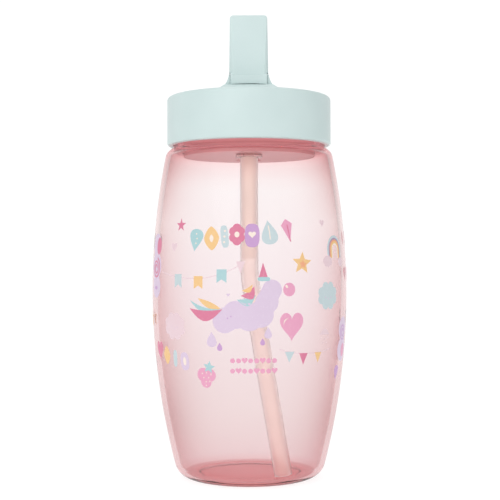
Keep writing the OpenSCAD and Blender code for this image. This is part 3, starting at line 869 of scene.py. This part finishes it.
def makeBunting(name, facts, steps=12):
    middle, lowest = facts["low"]
    side = sideRadius(lowest)
    halves = []
    for endTurn, endHeight in (facts["start"], facts["end"]):
        reach = [i / steps for i in range(steps + 1)]
        halves.append([(math.radians((endTurn - middle) * t) * side,
                        (endHeight - lowest) * t * t) for t in reach])
    line = halves[0][::-1] + halves[1][1:]
    layers = [("faint", bandShape(line, facts["cord"]))]
    for inkName, turn, top, width, drop, notch in facts["flags"]:
        across = math.radians(turn - middle) * side
        layers.append((inkName, moved(flagShape(width, drop, notch), across, top - lowest)))
    inkMotif(name, middle, lowest, layers)


# Two short rows of round dots and small hearts
beadRows = dict(turn=2.2, heights=(47.6, 43.9), spacing=2.15, count=8, bead=1.75, heart=2.2)


def makeBeadRows():
    layers = []
    half = (beadRows["count"] - 1) / 2
    for row, height in enumerate(beadRows["heights"]):
        for i in range(beadRows["count"]):
            across = (i - half) * beadRows["spacing"]
            if (i + row) % 3 == 2:
                outline = heartShape(beadRows["heart"], beadRows["heart"])
            else:
                outline = ovalShape(beadRows["bead"], beadRows["bead"], steps=24)
            layers.append(("pink", moved(outline, across, height - beadRows["heights"][0])))
    inkMotif("beadRows", beadRows["turn"], beadRows["heights"][0], layers)


for group in (upperRow, scattered, paradeCloud, aroundSides):
    for motifName, (turn, height, layers) in group.items():
        inkMotif(motifName, turn, height, layers)
for buntingName, facts in buntings.items():
    makeBunting(buntingName, facts)
makeBeadRows()
print("print on the barrel made")


finishes = dict(lid_shell=mint, lid_plug=shadedPlugTint, spout=mint, neck_gasket=clearSoft,
                air_valve=clearSoft, spout_seat=clearSoft, straw_stem=milky, straw=strawSoft)
for nodeName, material in finishes.items():
    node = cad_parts[nodeName]
    node.data.materials.clear()
    node.data.materials.append(material)
print("frame pieces finished")


# The bowl shines evenly, less on its left and right walls, so that the bottle's own
# sides stay darker than its middle. It lies a hair below the table plane.
stage = dict(flat=1.1, bend=0.9, wall=1.6, below=0.0002, segments=96, bendSteps=24,
             colour="858585", roughness=0.9, glow=0.86,
             dimLeft=0.42, dimRight=0.55, dimStart=0.26, dimEnd=0.62)


def makeStageMaterial():
    material, tree, shader = newMaterial("PaleStage")
    shader.inputs["Base Color"].default_value = rgb(stage["colour"])
    shader.inputs["Roughness"].default_value = stage["roughness"]
    shader.inputs["Specular IOR Level"].default_value = 0.0
    parts = tree.nodes.new("ShaderNodeSeparateXYZ")
    tree.links.new(tree.nodes.new("ShaderNodeTexCoord").outputs["Object"], parts.inputs[0])
    aside = mathNode(tree, "ABSOLUTE", parts.outputs["X"])
    whole = stage["flat"] + stage["bend"]
    start = whole * stage["dimStart"]
    far = mathNode(tree, "DIVIDE", mathNode(tree, "SUBTRACT", aside, start, True),
                   whole * stage["dimEnd"] - start, True)
    right = mathNode(tree, "GREATER_THAN", parts.outputs["X"], 0.0)
    most = rangeNode(tree, right, stage["dimLeft"], stage["dimRight"])
    tree.links.new(mixColour(tree, mathNode(tree, "MULTIPLY", far, most), (1, 1, 1, 1),
                             (0, 0, 0, 1)), shader.inputs["Emission Color"])
    shader.inputs["Emission Strength"].default_value = stage["glow"]
    return material


def makeStage():
    # a round floor that curves up into a wall on every side, sizes in metres
    profile = [(0.0, 0.0), (stage["flat"] / 2, 0.0)]
    profile += arc((stage["flat"], stage["bend"]), stage["bend"], -90, 0, stage["bendSteps"])
    profile.append((stage["flat"] + stage["bend"], stage["bend"] + stage["wall"]))
    segments = stage["segments"]
    vertices, faces = [(0, 0, 0)], []
    for r, z in profile[1:]:
        for i in range(segments):
            a = 2 * math.pi * i / segments
            vertices.append((r * math.cos(a), r * math.sin(a), z))
    for i in range(segments):
        j = (i + 1) % segments
        faces.append((0, 1 + i, 1 + j))
        for k in range(len(profile) - 2):
            p, q = 1 + k * segments, 1 + (k + 1) * segments
            faces.append((p + i, q + i, q + j, p + j))
    mesh = bpy.data.meshes.new("stageBowl")
    mesh.from_pydata([(x, y, z - stage["below"]) for x, y, z in vertices], [], faces)
    mesh.materials.append(makeStageMaterial())
    mesh.shade_smooth()
    bowl = bpy.data.objects.new("stageBowl", mesh)
    scene.collection.objects.link(bowl)


makeStage()

room = dict(colour=(1, 1, 1, 1), strength=0.85)
scene.world = bpy.data.worlds.new("softRoom")
scene.world.use_nodes = True
background = scene.world.node_tree.nodes["Background"]
background.inputs["Color"].default_value = room["colour"]
background.inputs["Strength"].default_value = room["strength"]

# soft round lamps, in metres and watts
lamps = dict(
    key=dict(place=(-0.5, -0.8, 0.6), size=0.7, power=1.7),
    fill=dict(place=(0.8, -0.5, 0.5), size=0.6, power=0.3),
    top=dict(place=(0.0, 0.1, 1.0), size=0.8, power=0.75))
target = Vector((0, 0, 0.1))
for lampName, facts in lamps.items():
    light = bpy.data.lights.new(lampName, "AREA")
    light.shape = "DISK"
    light.size = facts["size"]
    light.energy = facts["power"]
    lamp = bpy.data.objects.new(lampName, light)
    lamp.location = facts["place"]
    lamp.rotation_euler = (target - lamp.location).to_track_quat("-Z", "Y").to_euler()
    scene.collection.objects.link(lamp)

# across and down shift the picture, roll is in degrees
view = dict(distance=448.0, eye=82.5, lens=83.3, sensor=36.0, roll=0.2, across=0.0012, down=0.0256)
cameraData = bpy.data.cameras.new("camera")
cameraData.lens = view["lens"]
cameraData.sensor_width = view["sensor"]
cameraData.shift_x = view["across"]
cameraData.shift_y = view["down"]
camera = bpy.data.objects.new("camera", cameraData)
camera.location = (0, -view["distance"] * mm, view["eye"] * mm)
camera.rotation_euler = (math.radians(90), math.radians(view["roll"]), 0)
scene.collection.objects.link(camera)
scene.camera = camera

scene.view_settings.view_transform = "Standard"
scene.view_settings.look = "None"
# light passes many walls of the bottle; blurring it would darken what is inside
scene.cycles.use_denoising = True
scene.cycles.max_bounces = 24
scene.cycles.transmission_bounces = 20
scene.cycles.transparent_max_bounces = 20
scene.cycles.glossy_bounces = 8
scene.cycles.caustics_refractive = True
scene.cycles.caustics_reflective = True
scene.cycles.blur_glossy = 0.0
print("stage, light and camera set")
